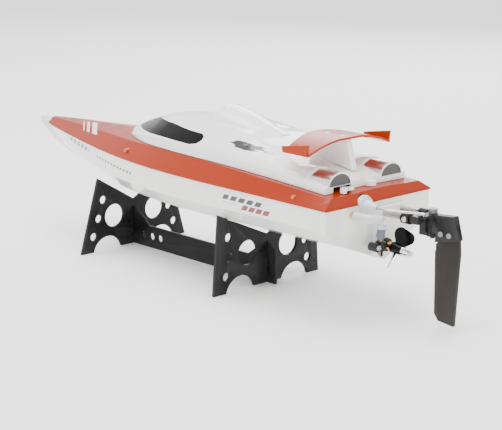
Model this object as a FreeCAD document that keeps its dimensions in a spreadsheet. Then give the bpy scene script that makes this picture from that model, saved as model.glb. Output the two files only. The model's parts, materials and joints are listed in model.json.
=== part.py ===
"""A radio-controlled deep-V racing boat on its slotted display stand.

Frame: +X towards the bow, +Y to port, +Z up, millimetres.  Z = 0 is the surface under the stand.
Stations along the boat count forward from the transom, and heights called "rise" count up from
the sheer, where the deck's skirt meets the hull.
"""
import FreeCAD, Part
import Sketcher
import math
import os
import re

V = FreeCAD.Vector
SIZES = {
    # boat
    "transom_x": -164.55, "hull_length": 392.0, "half_beam": 54.0, "keel_depth": 42.0,
    "sheer_z": 82.0, "sheer_rise": 7.0, "skirt_lap": 1.2, "skin": 1.6, "deck_rise": 16.6,
    "crease_rise": 13.6, "transom_rake": 33.0, "pad_depth": 4.5, "bumper_length": 24.0,
    "nose_radius": 26.0, "bumper_heel": 56.0,
    # hatch in the deck
    "hatch_aft": 92.0, "hatch_fore": 220.0, "hatch_half": 25.0, "hatch_tip_half": 12.0,
    "coaming_width": 4.0, "coaming_rise": 18.6, "seal_thick": 1.0, "hatch_thick": 1.8,
    "lift_gap": 0.3,
    # outer cover
    "cover_aft": 13.5, "cover_fore": 262.0, "cover_half": 41.0, "cover_rise": 39.5,
    "ledge_rise": 12.0, "pod_side": 26.2, "pod_radius": 12.9, "pod_height": 10.4,
    "pod_length": 62.0, "insert_length": 18.5, "insert_wall": 1.2, "scoop_rise": 48.2,
    "scoop_half": 21.0, "scoop_fore": 158.0, "scoop_aft": 92.0,
    # wing
    "wing_half": 41.7, "wing_aft": 28.5, "wing_chord": 25.0, "wing_rise": 40.0,
    "wing_thick": 1.6, "wing_sweep": 10.0, "wing_dip": 7.4, "plate_fall": 4.0, "strut_thick": 5.0,
    # latch on the after deck
    "latch_x": 8.8, "latch_y": 28.0, "latch_reach": 8.5, "latch_width": 4.6, "latch_high": 3.6,
    "latch_base": 7.9, "latch_arm_base": 9.3, "latch_arm_thick": 1.7,
    # running gear
    "shaft_drop": 29.0, "shaft_angle": 6.57, "shaft_radius": 1.5, "tube_radius": 2.6,
    "tube_fore": 88.0, "tube_aft": -10.4, "sleeve_radius": 3.1, "prop_x": -21.0,
    "prop_hub_radius": 3.9, "prop_hub_length": 9.0, "prop_radius": 14.5, "fit": 0.05,
    "motor_radius": 14.0, "motor_length": 38.0, "motor_aft": 108.0, "jacket_wall": 2.0,
    "coupling_radius": 5.0,
    # rudder
    "rudder_x": -39.0, "rudder_y": -8.5, "arm_spread": 8.9, "arm_radius": 2.1, "arm_drop": 8.0,
    "arm_aft": -24.0, "collar_radius": 3.9, "bracket_aft": -35.0, "bracket_high": 5.2,
    "pin_radius": 1.6, "barrel_radius": 3.7, "barrel_top": -3.5, "barrel_base": -19.0,
    "blade_top": -19.6, "blade_base": -77.5, "blade_chord": 22.5, "blade_thick": 2.6,
    "tiller_radius": 9.7, "rod_radius": 0.8, "slot_gap": 0.5, "rod_drop": 1.2, "rod_y": 15.0,
    "servo_x": 38.0, "rod_low": 2.4,
    # cooling
    "pickup_x": -8.0, "pickup_y": 8.4, "pickup_radius": 2.1, "hose_radius": 3.0,
    "hose_bore": 2.2, "hose_y": 28.0, "hose_drop": 6.0, "pickup_top": -19.5, "pickup_base": -38.0,
    # stand
    "sheet_thick": 2.2, "rear_plate_x": 109.5, "front_plate_x": 266.0, "foot_half": 54.5,
    "rear_top_half": 50.0, "front_top_half": 36.8, "plate_high": 60.0, "lobe_lift": 1.0,
    "bar_high": 19.0, "bar_end": 10.0, "lap_gap": 0.1, "lap_level": 13.0, "big_hole": 9.4,
    "small_hole": 3.3, "cradle_gap": 0.3,
}

doc = FreeCAD.newDocument("rc_boat")
sheet = doc.addObject("Spreadsheet::Sheet", "Dims")
for row, (alias, size) in enumerate(SIZES.items(), start=1):
    sheet.set(f"A{row}", alias)
    sheet.set(f"B{row}", str(size))
    sheet.setAlias(f"B{row}", alias)
doc.recompute()
NODES = []
ALONG = {"x": FreeCAD.Rotation(V(0, 1, 0), 90), "y": FreeCAD.Rotation(V(1, 0, 0), -90),
         "z": FreeCAD.Rotation()}
ACROSS = FreeCAD.Rotation(V(1, 1, 1), 120)
SIDEWAYS = FreeCAD.Rotation(V(1, 0, 0), 90)


def bound(text):
    """Write a size expression with each named value tied to its cell."""
    def tied(word):
        return "Dims." + word[0] if word[0] in SIZES else word[0]
    return re.sub(r"[a-z_][a-z_0-9]*", tied, str(text))


def number(text):
    return float(sheet.evalExpression(bound(text)))


def tie(item, sizes):
    for name, text in sizes.items():
        item.setExpression(name, bound(text))


def station(text):
    return f"transom_x + ({text})"


def rise(text):
    return f"sheer_z + ({text})"


def keep(item, node):
    item.Label = node
    NODES.append(item)
    return item


def box(name, low, high, turn=None):
    item = doc.addObject("Part::Box", name)
    if turn is not None:
        item.Placement.Rotation = turn
    for side, axis, a, b in zip(("Length", "Width", "Height"), "xyz", low, high):
        tie(item, {side: f"({b}) - ({a})", f"Placement.Base.{axis}": a})
    return item


def rod(name, axis, at, radius, length):
    """A cylinder whose axis starts at a point and runs along +X, +Y or +Z."""
    item = doc.addObject("Part::Cylinder", name)
    item.Placement.Rotation = ALONG[axis]
    tie(item, {"Radius": radius, "Height": length})
    tie(item, {f"Placement.Base.{a}": v for a, v in zip("xyz", at)})
    return item


def cone(name, axis, at, first, last, length):
    item = doc.addObject("Part::Cone", name)
    item.Placement.Rotation = ALONG[axis]
    tie(item, {"Radius1": first, "Radius2": last, "Height": length})
    tie(item, {f"Placement.Base.{a}": v for a, v in zip("xyz", at)})
    return item


def on_shaft(name, start, length, radius, tip=None):
    """A cylinder or cone on the sloping shaft line, from a station forward."""
    item = doc.addObject("Part::Cylinder" if tip is None else "Part::Cone", name)
    item.Placement.Rotation = FreeCAD.Rotation(V(0, 1, 0), 83)
    sizes = {"Height": length, "Placement.Rotation.Angle": "90 - shaft_angle",
             "Placement.Base.x": station(start), "Placement.Base.z": shaft_z(start)}
    if tip is None:
        sizes["Radius"] = radius
    else:
        sizes["Radius1"] = radius
        sizes["Radius2"] = tip
    tie(item, sizes)
    return item


def shaft_z(start):
    return f"sheer_z - shaft_drop + ({start}) * tan(shaft_angle)"


def fuse(name, *items):
    item = doc.addObject("Part::MultiFuse", name)
    item.Shapes = list(items)
    return item


def cut(name, base, *tools):
    item = doc.addObject("Part::Cut", name)
    item.Base = base
    item.Tool = tools[0] if len(tools) == 1 else fuse(name + "_tools", *tools)
    return item


def common(name, *items):
    item = doc.addObject("Part::MultiCommon", name)
    item.Shapes = list(items)
    return item


def outline(sketch, points):
    """Close a polygon through points whose two coordinates are tied to the sheet."""
    places = [V(number(a), number(b), 0) for a, b in points]
    count = len(places)
    for i in range(count):
        sketch.addGeometry(Part.LineSegment(places[i], places[(i + 1) % count]), False)
    for i in range(count):
        sketch.addConstraint(Sketcher.Constraint("Coincident", i, 2, (i + 1) % count, 1))
    for i, (a, b) in enumerate(points):
        for kind, text, value in (("DistanceX", a, places[i].x), ("DistanceY", b, places[i].y)):
            mark = sketch.addConstraint(Sketcher.Constraint(kind, -1, 1, i, 1, value))
            sketch.setExpression(f"Constraints[{mark}]", bound(text))
    return sketch


def section(name, at, points, turn=ACROSS, axis="x"):
    """A free sketch standing across the boat at a station."""
    sketch = doc.addObject("Sketcher::SketchObject", name)
    sketch.Placement.Rotation = turn
    tie(sketch, {f"Placement.Base.{axis}": at})
    return outline(sketch, points)


def mirrored(half):
    """Both sides of a half section given from its lowest to its highest point."""
    port = [(y, z) for y, z in half]
    starboard = [(f"-({y})", z) for y, z in reversed(half) if str(y) != "0"]
    return port + starboard


def loft(name, sections, ruled=False):
    item = doc.addObject("Part::Loft", name)
    item.Sections = sections
    item.Solid = True
    item.Ruled = ruled
    return item


def plate(name, points, plane, start, thick):
    """A body padded from an outline on one of its origin planes."""
    body = doc.addObject("PartDesign::Body", name)
    sketch = body.newObject("Sketcher::SketchObject", name + "_outline")
    faces = [f for f in body.Origin.OriginFeatures if f.Role == plane]
    sketch.AttachmentSupport = [(faces[0], "")]
    sketch.MapMode = "FlatFace"
    outline(sketch, points)
    pad = body.newObject("PartDesign::Pad", name + "_pad")
    pad.Profile = sketch
    tie(pad, {"Length": thick})
    sketch.Visibility = False
    axis = {"XY_Plane": "z", "XZ_Plane": "y", "YZ_Plane": "x"}[plane]
    tie(body, {f"Placement.Base.{axis}": start})
    return body


def arcs(points, share=0.45):
    """A wire of straight runs joined by the largest tangent arcs that the runs allow."""
    edges = []
    start = points[0]
    for i in range(1, len(points) - 1):
        back = points[i - 1] - points[i]
        ahead = points[i + 1] - points[i]
        reach = share * min(back.Length, ahead.Length)
        back.normalize()
        ahead.normalize()
        first = points[i] + back * reach
        last = points[i] + ahead * reach
        half = back.getAngle(ahead) / 2
        inward = (back + ahead).normalize()
        middle = points[i] + inward * (reach / math.cos(half) - reach * math.tan(half))
        edges += [Part.LineSegment(start, first).toShape(),
                  Part.Arc(first, middle, last).toShape()]
        start = last
    edges.append(Part.LineSegment(start, points[-1]).toShape())
    return Part.Wire(edges)


def run(name, route, radius, bore=None, share=0.45):
    """A round rod, wire or hose along a route of tied points."""
    points = [V(number(station(x)), number(y), number(rise(z))) for x, y, z in route]
    spine = arcs(points, share)
    heading = points[1] - points[0]
    shapes = []
    for size in (radius, bore):
        if size is None:
            continue
        ring = Part.Wire(Part.Circle(points[0], heading, number(size)).toShape())
        shapes.append(spine.makePipeShell([ring], True, True))
    item = doc.addObject("Part::Feature", name)
    item.Shape = shapes[0] if bore is None else shapes[0].cut(shapes[1])
    return item


# ---- lines of the hull, deck and cover --------------------------------------------------------
# share of the length, share of the half beam, share of the sheer rise
SHEER = [(0.0, 1.0, 0.0), (0.165, 0.978, 0.0), (0.33, 0.96, 0.0), (0.47, 0.915, 0.07),
         (0.587, 0.805, 0.19), (0.674, 0.68, 0.31), (0.783, 0.49, 0.54), (0.893, 0.27, 0.75),
         (0.955, 0.12, 0.88), (1.0, 0.02, 1.0)]
# shares of the half beam and keel depth: chine, rail, keel
BOTTOM = [(0.985, 0.345, 0.74, 0.60, 0.965), (0.965, 0.355, 0.73, 0.62, 0.975),
          (0.935, 0.39, 0.72, 0.65, 1.0), (0.87, 0.405, 0.655, 0.66, 1.0),
          (0.745, 0.395, 0.54, 0.64, 0.965), (0.595, 0.37, 0.40, 0.60, 0.87),
          (0.37, 0.30, 0.215, 0.48, 0.69), (0.16, 0.16, 0.085, 0.27, 0.40),
          (0.062, 0.04, 0.033, 0.10, 0.175), (0.009, -0.10, 0.005, -0.095, -0.09)]
# shares of the half beam and crease rise, then of the deck rise: crease, crown
TOP = [(0.837, 0.47, 0.44), (0.833, 0.77, 0.75), (0.76, 0.965, 0.96), (0.675, 1.0, 1.02),
       (0.555, 0.95, 0.99), (0.425, 0.93, 0.95), (0.26, 0.905, 0.88), (0.12, 0.85, 0.76),
       (0.05, 0.78, 0.67), (0.009, 0.67, 0.56)]


def slopes(xs, ys):
    """Tangents of a curve through points that never overshoots them."""
    steps = [(ys[i + 1] - ys[i]) / (xs[i + 1] - xs[i]) for i in range(len(xs) - 1)]
    inner = [2 * a * b / (a + b) if a * b > 0 else 0.0 for a, b in zip(steps, steps[1:])]
    return [steps[0]] + inner + [steps[-1]]


def refine(rows):
    """Add a station half way between each two, on smooth curves through all of them."""
    xs = [row[0] for row in rows]
    fine = [rows[0]]
    tangents = [slopes(xs, list(column)) for column in zip(*rows)]
    for i in range(len(rows) - 1):
        gap = xs[i + 1] - xs[i]
        middle = [round((a + b) / 2 + gap * (tangent[i] - tangent[i + 1]) / 8, 4)
                  for a, b, tangent in zip(rows[i], rows[i + 1], tangents)]
        fine += [tuple(middle), rows[i + 1]]
    return fine


LINES = refine([sheer + bottom + top for sheer, bottom, top in zip(SHEER, BOTTOM, TOP)])


def hull_form(name, inset, first, last, lift):
    """The closed shape under the sheer, moved in by a wall and carried above the sheer."""
    sections = []
    for i in range(first, last):
        share, beam, up, chine_y, chine_z, rail_y, rail_z, keel_z = LINES[i][:8]
        level = f"{up} * sheer_rise"
        half = [("0", f"sheer_z - {keel_z} * keel_depth + {inset} * 1.2"),
                (f"{rail_y} * half_beam - {inset} * 0.5", f"sheer_z - {rail_z} * keel_depth + {inset}"),
                (f"({rail_y} + 0.03 * {beam}) * half_beam - {inset} * 0.9",
                 f"sheer_z - {rail_z} * keel_depth + {inset} * 0.9 + 0.5 * {beam}"),
                (f"{chine_y} * half_beam - {inset}", f"sheer_z - {chine_z} * keel_depth + {inset} * 0.4"),
                (f"{beam} * half_beam - {beam} * skirt_lap - {inset}", f"sheer_z + {level} + {lift}")]
        at = station(f"{share} * hull_length")
        if i == first:
            at += " - pad_depth" if inset == "0" else " + pad_depth"
        points = [(y, z) for y, z in half] + [(f"-({y})", z) for y, z in reversed(half[1:])]
        sections.append(section(f"{name}_{i}", at, points))
    return loft(name, sections, True)


def deck_form(name, inset, first, last, drop):
    """The closed shape over the sheer, moved in by a wall and carried below the sheer."""
    sections = []
    for i in range(first, last):
        share, beam, up = LINES[i][:3]
        crease_y, crease_z, crown = LINES[i][8:]
        level = f"{up} * sheer_rise"
        half = [(f"{beam} * half_beam - {inset}", f"sheer_z + {level} - {drop}"),
                (f"{beam} * half_beam - {inset}", f"sheer_z + {level} + {beam}"),
                (f"{crease_y} * half_beam - {inset} * 0.5",
                 f"sheer_z + {crease_z} * crease_rise - {inset}"),
                ("0", f"sheer_z + {crown} * deck_rise - {inset}")]
        at = station(f"{share} * hull_length")
        if i == first and inset != "0":
            at += " + 6"
        sections.append(section(f"{name}_{i}", at, mirrored(half)))
    return loft(name, sections, True)


def below_sheer():
    """Everything under the side-view line where the skirt meets the hull."""
    line = [(station(f"{share} * hull_length"), f"sheer_z + {up} * sheer_rise")
            for share, beam, up in (row[:3] for row in LINES)]
    foot = [(station("hull_length + 30"), "sheer_z + sheer_rise * 1.1"),
            (station("hull_length + 30"), "sheer_z - keel_depth * 2"),
            (station("-40"), "sheer_z - keel_depth * 2"), (station("-40"), "sheer_z")]
    sketch = section("sheer_line", "half_beam * 2", line + foot, SIDEWAYS, "y")
    item = doc.addObject("Part::Extrusion", "below_sheer")
    item.Base = sketch
    item.DirMode = "Normal"
    item.Solid = True
    tie(item, {"LengthFwd": "half_beam * 4"})
    return item


def build_shells():
    under = below_sheer()
    outer = hull_form("hull_outer", "0", 0, len(LINES), "3")
    inner = hull_form("hull_inner", "skin", 0, len(LINES) - 4, "6")
    top = deck_form("deck_outer", "0", 0, len(LINES), "3")
    hollow = deck_form("deck_hollow", "skin", 0, len(LINES) - 4, "8")
    pad = box("transom_pad", (station("-pad_depth - 1"), "-25", "sheer_z - keel_depth * 1.5"),
              (station("4"), "6", "sheer_z - 4"))
    aft = box("aft_slab", (station("-20"), "-half_beam * 2", "0"), (station("1"), "half_beam * 2",
                                                                    "sheer_z * 2"))
    trimmed = cut("hull_trimmed", outer, cut("aft_waste", aft, pad))
    heel = "hull_length - bumper_heel"
    cap = plate("bow_cap_space", [
        (station("hull_length + 30"), "sheer_z - keel_depth * 2"),
        (station("hull_length + 30"), "sheer_z + deck_rise * 3"),
        (station("hull_length - bumper_length - nose_radius"), "sheer_z + deck_rise * 3"),
        (station("hull_length - bumper_length + 4"), "sheer_z + sheer_rise"),
        (station(heel), "sheer_z - keel_depth * 0.46"),
        (station(heel), "sheer_z - keel_depth * 2")], "XZ_Plane", "half_beam", "half_beam * 2")
    nose = rod("deck_nose", "z", (station("hull_length - bumper_length - nose_radius + 3"), "0",
                                  "sheer_z - keel_depth"), "nose_radius", "keel_depth * 3")
    upper = cut("deck_space", box("over_sheer", (station("-40"), "-half_beam * 2", "0"),
                                  (station("hull_length + 40"), "half_beam * 2", "sheer_z * 2")), under)
    deck_zone = cut("cap_over_deck", common("cap_deck_part", cap, upper), nose)
    hull_zone = common("cap_hull_part", cap, under)
    hull_under = common("hull_under", trimmed, under)
    deck_over = cut("deck_over", top, under)
    cap_low = common("cap_low", hull_under, hull_zone)
    cap_high = common("cap_high", deck_over, deck_zone)
    keep(fuse("bow_bumper_solid", cap_low, cap_high), "bow_bumper")
    boss = rod("boot_boss", "x", (station("1"), "rod_y", rise("-rod_drop")), "7", "skin")
    holes = [rod("rod_hole", "x", (station("-10"), "rod_y", rise("-rod_drop")), "rod_radius + 1.2", "20"),
             rod("hose_hole", "x", (station("-10"), "hose_y", rise("-hose_drop")), "hose_bore + fit", "20"),
             rod("tap_hole", "y", (station("40"), "-half_beam - 5", rise("-8")), "2.2 + fit", "15"),
             on_shaft("tube_hole", "-20", "70", "tube_radius + fit")]
    for side in (-1, 1):
        holes.append(rod(f"arm_hole_{side + 1}", "x", (station("-10"), f"rudder_y + {side} * arm_spread",
                                                       rise("-arm_drop")), "arm_radius * 0.7", "20"))
    shell = cut("hull_shell", hull_under, inner, hull_zone)
    keep(cut("hull_solid", fuse("hull_with_boss", shell, boss), *holes), "hull")
    deck_parts(under, deck_over, hollow, deck_zone, top)


KNOBS_AT = ("hatch_aft - coaming_width * 0.5", "hatch_fore + coaming_width * 0.5")


def hatch_outline(grow):
    return [(station(f"hatch_aft - {grow}"), f"-(hatch_half + {grow})"),
            (station("hatch_fore - 30"), f"-(hatch_half + {grow})"),
            (station(f"hatch_fore + {grow}"), f"-(hatch_tip_half + {grow} * 0.6)"),
            (station(f"hatch_fore + {grow}"), f"hatch_tip_half + {grow} * 0.6"),
            (station("hatch_fore - 30"), f"hatch_half + {grow}"),
            (station(f"hatch_aft - {grow}"), f"hatch_half + {grow}")]


def deck_parts(under, deck_over, hollow, deck_zone, top):
    rake = doc.addObject("Part::Box", "rake_cutter")
    rake.Placement.Rotation = FreeCAD.Rotation(V(0, 1, 0), 33)
    tie(rake, {"Length": "40", "Width": "half_beam * 4", "Height": "80",
               "Placement.Rotation.Angle": "transom_rake", "Placement.Base.y": "-half_beam * 2",
               "Placement.Base.x": "transom_x - 40 * cos(transom_rake) - 20 * sin(transom_rake)",
               "Placement.Base.z": "sheer_z + 40 * sin(transom_rake) - 20 * cos(transom_rake)"})
    alcove = rod("boot_alcove", "x", (station("-3"), "rod_y", rise("-rod_drop")), "7.4", "14")
    shell = cut("deck_shell", deck_over, hollow, deck_zone, rake, alcove)
    coaming = plate("coaming", hatch_outline("coaming_width"), "XY_Plane", rise("crease_rise * 0.7"),
                    "coaming_rise - crease_rise * 0.7")
    opening = plate("hatch_opening", hatch_outline("0"), "XY_Plane", rise("-5"), "60")
    well = cut("deck_with_coaming", fuse("deck_and_rim", shell, coaming), opening)
    holes = []
    for i, x in enumerate(KNOBS_AT):
        holes.append(rod(f"knob_hole_{i}", "z", (station(x), "0", rise("coaming_rise - 6")), "1.1", "12"))
    for i, y in enumerate(("-22", "-29", "-38")):
        holes.append(rod(f"deck_hole_{i}", "z", (station("latch_x"), y, rise("2")), "0.9", "10"))
    holes.append(rod("latch_hole", "z", (station("latch_x"), "latch_y", rise("0")), "1.1", "12"))
    keep(cut("deck_solid", well, *holes), "deck")
    nubs = []
    for i, (x, y, z) in enumerate((("34", "half_beam * 0.90", "4.2"), ("226", "half_beam * 0.70", "7.0"))):
        for side in (-1, 1):
            nubs.append(rod(f"cleat_{i}_{side + 1}", "y", (station(x), f"{side} * ({y}) - 2.5", rise(z)),
                            "1.5", "5"))
    keep(cut("cleats", fuse("cleat_pegs", *nubs), top), "deck_cleats")
    level = rise("coaming_rise + lift_gap")
    seal = plate("seal_sheet", hatch_outline("coaming_width * 0.8"), "XY_Plane", level, "seal_thick")
    inside = plate("seal_hole", hatch_outline("coaming_width * 0.2"), "XY_Plane",
                   rise("coaming_rise - 3"), "10")
    seal_holes = [rod(f"seal_hole_{i}", "z", (station(x), "0", rise("coaming_rise")), "0.8", "12")
                  for i, x in enumerate(KNOBS_AT)]
    keep(cut("seal_ring", seal, inside, *seal_holes), "inner_hatch_seal")
    lid = plate("inner_lid", hatch_outline("coaming_width"), "XY_Plane",
                rise("coaming_rise + lift_gap + seal_thick"), "hatch_thick")
    knob_holes = [rod(f"lid_hole_{i}", "z", (station(x), "0", rise("coaming_rise")), "1.1", "12")
                  for i, x in enumerate(KNOBS_AT)]
    rib = [box(f"lid_rib_{i}", (station("hatch_aft + 12"), y,
                                rise("coaming_rise + lift_gap + seal_thick + hatch_thick")),
               (station("hatch_fore - 34"), f"{y} + 2",
                rise("coaming_rise + lift_gap + seal_thick + hatch_thick + 1.5")))
           for i, y in enumerate(("-14", "12"))]
    keep(cut("inner_hatch_solid", fuse("lid_with_ribs", lid, *rib), *knob_holes), "inner_hatch")
    knobs = []
    for i, x in enumerate(KNOBS_AT):
        top_z = "coaming_rise + lift_gap + seal_thick + hatch_thick"
        stem = rod(f"knob_stem_{i}", "z", (station(x), "0", rise("coaming_rise - 5")), "0.8",
                   f"{top_z} - coaming_rise + 5")
        head = rod(f"knob_head_{i}", "z", (station(x), "0", rise(top_z)), "3", "2.6")
        knobs.append(fuse(f"knob_{i}", stem, head))
    keep(fuse("knobs", *knobs), "inner_hatch_knobs")


# shares for the cover: station, half width, shoulder y and rise, roof y and rise, crown rise
COVER = [(0.0, 1.0, 0.975, 0.32, 0.80, 0.34, 0.345), (0.13, 1.0, 0.95, 0.44, 0.68, 0.52, 0.53),
         (0.35, 0.985, 0.90, 0.60, 0.60, 0.83, 0.865), (0.55, 0.945, 0.83, 0.67, 0.55, 0.955, 1.0),
         (0.73, 0.83, 0.69, 0.66, 0.42, 0.90, 0.945), (0.855, 0.645, 0.49, 0.56, 0.24, 0.73, 0.765),
         (0.95, 0.36, 0.25, 0.45, 0.12, 0.52, 0.53), (1.0, 0.09, 0.06, 0.385, 0.03, 0.395, 0.40)]

COVER = refine(COVER)


def cover_form(name, inset, first, last, base):
    """The closed shape of the outer cover, moved in by a wall; its base lies inside the deck."""
    sections = []
    for i in range(first, last):
        share, half, edge_y, edge_z, roof_y, roof_z, crown = COVER[i]
        points = [(f"{half} * cover_half - {inset}", f"sheer_z - {base}"),
                  (f"{half} * cover_half - {inset}", f"sheer_z + {edge_z} * cover_rise * 0.8 - {inset}"),
                  (f"{edge_y} * cover_half - {inset}", f"sheer_z + {edge_z} * cover_rise - {inset}"),
                  (f"{roof_y} * cover_half - {inset} * 0.7", f"sheer_z + {roof_z} * cover_rise - {inset}"),
                  ("0", f"sheer_z + {crown} * cover_rise - {inset}")]
        at = station(f"cover_aft + {share} * (cover_fore - cover_aft)")
        if i == first and inset != "0":
            at += " + skin"
        sections.append(section(f"{name}_{i}", at, mirrored(points)))
    return loft(name, sections, True)


def scoop_form(name, inset):
    """The raised air scoop on the roof, tall in front and tapering aft."""
    rows = [("scoop_fore", 0.94, 0.50, 0.79), ("scoop_fore - 4", 1.0, 0.54, 0.945),
            ("scoop_fore - 9", 1.0, 0.54, 1.0), ("scoop_fore - 18", 0.98, 0.52, 0.957),
            ("scoop_fore - 30", 0.92, 0.46, 0.90), ("scoop_fore - 48", 0.80, 0.36, 0.785),
            ("scoop_aft", 0.62, 0.28, 0.685)]
    sections = []
    for i, (at, low, high, up) in enumerate(rows):
        points = [(f"{low} * scoop_half - {inset}", rise("ledge_rise")),
                  (f"{low} * scoop_half - {inset}", rise(f"{up} * scoop_rise * 0.76 - {inset}")),
                  (f"{0.5 * (low + high)} * scoop_half - {inset}",
                   rise(f"{up} * scoop_rise * 0.92 - {inset}")),
                  (f"{high * 0.7} * scoop_half - {inset} * 0.5",
                   rise(f"{up} * scoop_rise * 0.985 - {inset}")),
                  ("0", rise(f"{up} * scoop_rise + 0.2 - {inset}"))]
        sections.append(section(f"{name}_{i}", station(at), mirrored(points)))
    return loft(name, sections, True)


def pod_outline(side, radius, height, foot):
    """A half ellipse standing on the ledge, carried down to a foot below it."""
    points = []
    for step in range(9):
        angle = 22.5 * step
        points.append((f"{side} * pod_side + {radius} * cos({angle})",
                       rise(f"ledge_rise + {height} * sin({angle})")))
    points.append((f"{side} * pod_side - {radius}", rise(foot)))
    points.append((f"{side} * pod_side + {radius}", rise(foot)))
    return points


def pod(name, side):
    """A half-round pod lying on the cover, with a tapering fairing ahead of it."""
    sections = []
    for i, (at, scale) in enumerate((("cover_aft + insert_length", "1"), ("cover_aft + pod_length * 0.45", "1"),
                                     ("cover_aft + pod_length", "0.55"))):
        points = pod_outline(side, f"pod_radius * {scale}", f"pod_height * {scale}", "ledge_rise - 4")
        sections.append(section(f"{name}_{i}", station(at), points))
    return loft(name, sections, True)


def build_cover():
    lifted = deck_form("deck_lifted", "0", 0, len(LINES), "3")
    tie(lifted, {"Placement.Base.z": "lift_gap"})
    outer = cover_form("cover_outer", "0", 0, len(COVER), "-4")
    inner = cover_form("cover_inner", "skin", 0, len(COVER) - 2, "4")
    scoop = scoop_form("scoop_outer", "0")
    scoop_in = scoop_form("scoop_inner", "skin")
    tie(scoop_in, {"Placement.Base.x": "-skin"})
    ledge = box("rear_ledge", (station("cover_aft"), "-cover_half", rise("5")),
                (station("cover_aft + 6"), "cover_half", rise("ledge_rise")))
    lug = rod("rear_lug", "z", (station("cover_aft - 0.5"), "-3", rise("5")), "4.6", "ledge_rise - 5.4")
    pods = []
    cores = []
    for side in (-1, 1):
        pods.append(pod(f"pod_{side + 1}", side))
        cores.append(plate(f"core_{side + 1}", pod_outline(side, "(pod_radius - 1)", "(pod_height - 1)",
                                                           "ledge_rise - 0.01"),
                           "YZ_Plane", station("cover_aft - 1"), "insert_length + 1"))
    shell = cut("cover_shell", fuse("cover_body", outer, scoop, ledge, lug, *pods), inner, scoop_in, lifted,
                *cores)
    rim = [("cover_fore", "20.6"), ("240", "20.9"), ("192", "22.2"), ("154", "21.9"), ("147", "23.2"),
           ("143.4", "25.8"), ("143.4", "28.2"), ("147", "29.9"), ("163", "30.2"), ("188", "31.6"),
           ("cover_fore", "31.6")]
    glass_line = [(station(x), rise(z)) for x, z in rim]
    band = plate("glass_band", glass_line, "XZ_Plane", "half_beam", "half_beam * 2")
    hollow = cover_form("glass_inner", "skin * 0.5", 0, len(COVER), "4")
    screen = cut("glass_shell", common("glass_part", outer, band), hollow, scoop, lifted)
    keep(screen, "windshield")
    strut_foot = rod("strut_hole", "z", (station("wing_aft + wing_chord * 0.5"), "0", rise("5")), "0.9",
                     "60")
    pocket = box("latch_pocket", (station("cover_aft - 2"), "latch_y - 13", rise("5")),
                 (station("cover_aft + 9"), "latch_y + 5", rise("latch_arm_base + latch_arm_thick + 0.6")))
    keep(cut("cover_solid", shell, screen, strut_foot, pocket), "hatch_cover")
    liners = []
    faces = []
    for side, hand in ((-1, "starboard"), (1, "port")):
        outer_pod = plate(f"liner_{hand}", pod_outline(side, "(pod_radius - 1.05)", "(pod_height - 1.05)",
                                                       "ledge_rise - 0.005"), "YZ_Plane",
                                                       station("cover_aft"),
                          "insert_length - 0.1")
        inner_pod = plate(f"liner_in_{hand}", pod_outline(side, "(pod_radius - 1.05 - insert_wall)",
                                                          "(pod_height - 1.05 - insert_wall)",
                                                          "ledge_rise - 2"),
                          "YZ_Plane", station("cover_aft - 1"), "insert_length + 2")
        liners.append(cut(f"insert_{hand}", outer_pod, inner_pod))
        faces.append(plate(f"face_{hand}", pod_outline(side, "(pod_radius - 1.05 - insert_wall)",
                                                       "(pod_height - 1.05 - insert_wall)",
                                                       "ledge_rise - 0.005"),
                           "YZ_Plane", station("cover_aft + 0.6"), "2"))
    keep(fuse("insert_pair", *liners), "pod_inserts")
    keep(fuse("face_pair", *faces), "pod_faces")


def build_wing():
    arch = [("wing_half", "wing_rise - wing_dip"), ("wing_half * 0.74", "wing_rise - wing_dip * 0.5"),
            ("wing_half * 0.5", "wing_rise - wing_dip * 0.18"), ("wing_half * 0.27", "wing_rise")]
    upper = [(y, rise(z)) for y, z in arch] + [(f"-({y})", rise(z)) for y, z in reversed(arch)]
    lower = [(y, f"{z} - wing_thick") for y, z in reversed(upper)]
    span = plate("wing_span", upper + lower, "YZ_Plane", station("wing_aft"), "wing_chord + wing_sweep")
    nose = [(station("wing_aft - 5"), "-wing_half - 5"), (station("wing_aft + wing_chord * 0.86"),
                                                          "-wing_half - 5"),
            (station("wing_aft + wing_chord + wing_sweep"), "0"),
            (station("wing_aft + wing_chord * 0.86"), "wing_half + 5"), (station("wing_aft - 5"), "wing_half + 5")]
    plan = plate("wing_plan", nose, "XY_Plane", rise("0"), "wing_rise * 2")
    blade = common("wing_blade", span, plan)
    ends = []
    for side in (-1, 1):
        foot = rise("wing_rise - wing_dip - wing_thick")
        fin = [(station("wing_aft + 1.3"), foot), (station("wing_aft"), rise("wing_rise - 0.6")),
               (station("wing_aft + wing_chord"), rise("wing_rise - 0.6 - plate_fall")),
               (station("wing_aft + wing_chord - 1"), f"{foot} + 0.3")]
        start = f"{side} * wing_half + wing_thick * 0.5"
        ends.append(plate(f"end_plate_{side + 1}", fin, "XZ_Plane", start, "wing_thick"))
    screws = []
    for i, x in enumerate(("8", "22")):
        at = (station(f"wing_aft + {x}"), "0")
        stem = rod(f"wing_stem_{i}", "z", at + (rise("wing_rise - 9"),), "0.8", "8.5")
        head = cone(f"wing_head_{i}", "z", at + (rise("wing_rise - 1"),), "0.8", "1.7", "1")
        screws.append(fuse(f"wing_screw_{i}", stem, head))
    screw_set = keep(fuse("wing_screw_set", *screws), "wing_screws")
    keep(cut("wing_solid", fuse("wing_joined", blade, *ends), screw_set), "rear_wing")
    under = "wing_rise - wing_thick"
    leg = [(station("wing_aft - 4"), rise("17.5")), (station("wing_aft + 2"), rise(under)),
           (station("wing_aft + wing_chord + 2"), rise(under)), (station("wing_aft + wing_chord + 14"),
                                                                 rise("24"))]
    strut = plate("strut_leg", leg, "XZ_Plane", "strut_thick * 0.5", "strut_thick")
    keep(cut("strut_solid", strut, doc.getObject("cover_body"), screw_set), "wing_strut")


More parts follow.
